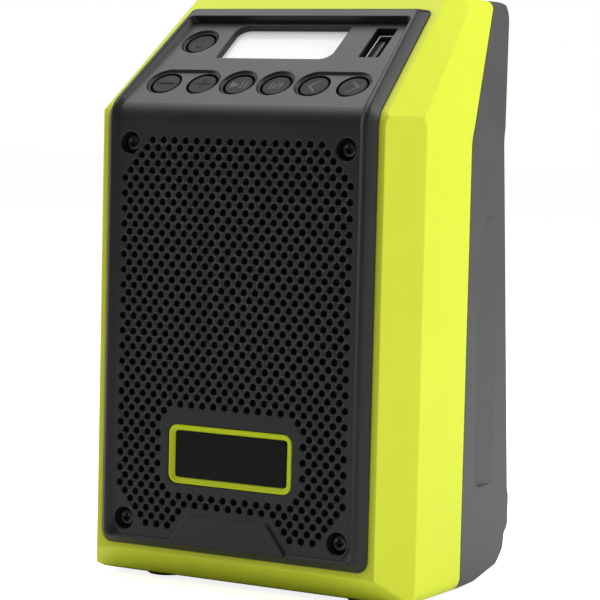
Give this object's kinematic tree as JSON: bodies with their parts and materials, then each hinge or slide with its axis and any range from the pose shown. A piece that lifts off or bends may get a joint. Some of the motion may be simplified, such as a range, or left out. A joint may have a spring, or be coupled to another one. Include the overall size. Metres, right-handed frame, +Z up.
{
  "type": "jobsite radio",
  "caption": "Upright jobsite radio with a perforated speaker grille, a sloping control panel with sprung buttons, a display and USB socket, and a battery well behind.",
  "frame": {"origin": "on the floor plane under the middle of the outline", "axes": "+Z up, the speaker faces -Y, +X is the listener's right"},
  "size_m": [0.1214, 0.091, 0.194],
  "materials": {
    "lime_plastic": "smooth semi-matt moulding",
    "grey_plastic": "fine matt texture",
    "black_plastic": "smooth matt moulding",
    "panel_plastic": "smooth matt moulding",
    "well_plastic": "matt moulding",
    "cloth": "woven acoustic cloth",
    "badge_lime": "smooth",
    "badge_black": "smooth, bare",
    "rubber": "matt",
    "keycap": "satin with printed symbol",
    "circuit_board": "solder-masked laminate",
    "clear_lens": "polished",
    "display": "reflective display",
    "steel": "bright folded sheet",
    "tongue": "moulded",
    "contacts": "plated",
    "basket": "pressed, painted",
    "cone_paper": "coated paper",
    "magnet": "ground ferrite and steel",
    "aluminium": "extruded",
    "black_screw": "blackened steel"
  },
  "bodies": {
    "radio": {"front_housing": "lime_plastic", "rear_housing": "grey_plastic", "battery_well": "well_plastic", "terminal_block": "black_plastic", "contact_blades": "contacts", "front_bezel": "black_plastic", "front_panel": "panel_plastic", "grille_cloth": "cloth", "badge_rim": "badge_lime", "badge_plate": "badge_black", "keypad": "rubber", "control_board": "circuit_board", "display_lens": "clear_lens", "display_module": "display", "usb_shell": "steel", "usb_tongue": "tongue", "speaker_basket": "basket", "speaker_cone": "cone_paper", "speaker_magnet": "magnet", "main_board": "circuit_board", "heat_sink": "aluminium", "grille_screws": "black_screw", "feet": "rubber"},
    "power_button_body": {"power_button": "keycap"},
    "volume_down_button_body": {"volume_down_button": "keycap"},
    "volume_up_button_body": {"volume_up_button": "keycap"},
    "play_pause_button_body": {"play_pause_button": "keycap"},
    "mode_button_body": {"mode_button": "keycap"},
    "previous_button_body": {"previous_button": "keycap"},
    "next_button_body": {"next_button": "keycap"}
  },
  "joints": [
    {"name": "power_press", "type": "slide", "parent": "radio", "child": "power_button_body", "axis": [0, 0.5931, -0.8051], "range_m": [0, 0.0008], "stiffness_N_per_m": 1500},
    {"name": "volume_down_press", "type": "slide", "parent": "radio", "child": "volume_down_button_body", "axis": [0, 0.5931, -0.8051], "range_m": [0, 0.0008], "stiffness_N_per_m": 1500},
    {"name": "volume_up_press", "type": "slide", "parent": "radio", "child": "volume_up_button_body", "axis": [0, 0.5931, -0.8051], "range_m": [0, 0.0008], "stiffness_N_per_m": 1500},
    {"name": "play_pause_press", "type": "slide", "parent": "radio", "child": "play_pause_button_body", "axis": [0, 0.5931, -0.8051], "range_m": [0, 0.0008], "stiffness_N_per_m": 1500},
    {"name": "mode_press", "type": "slide", "parent": "radio", "child": "mode_button_body", "axis": [0, 0.5931, -0.8051], "range_m": [0, 0.0008], "stiffness_N_per_m": 1500},
    {"name": "previous_press", "type": "slide", "parent": "radio", "child": "previous_button_body", "axis": [0, 0.5931, -0.8051], "range_m": [0, 0.0008], "stiffness_N_per_m": 1500},
    {"name": "next_press", "type": "slide", "parent": "radio", "child": "next_button_body", "axis": [0, 0.5931, -0.8051], "range_m": [0, 0.0008], "stiffness_N_per_m": 1500}
  ]
}
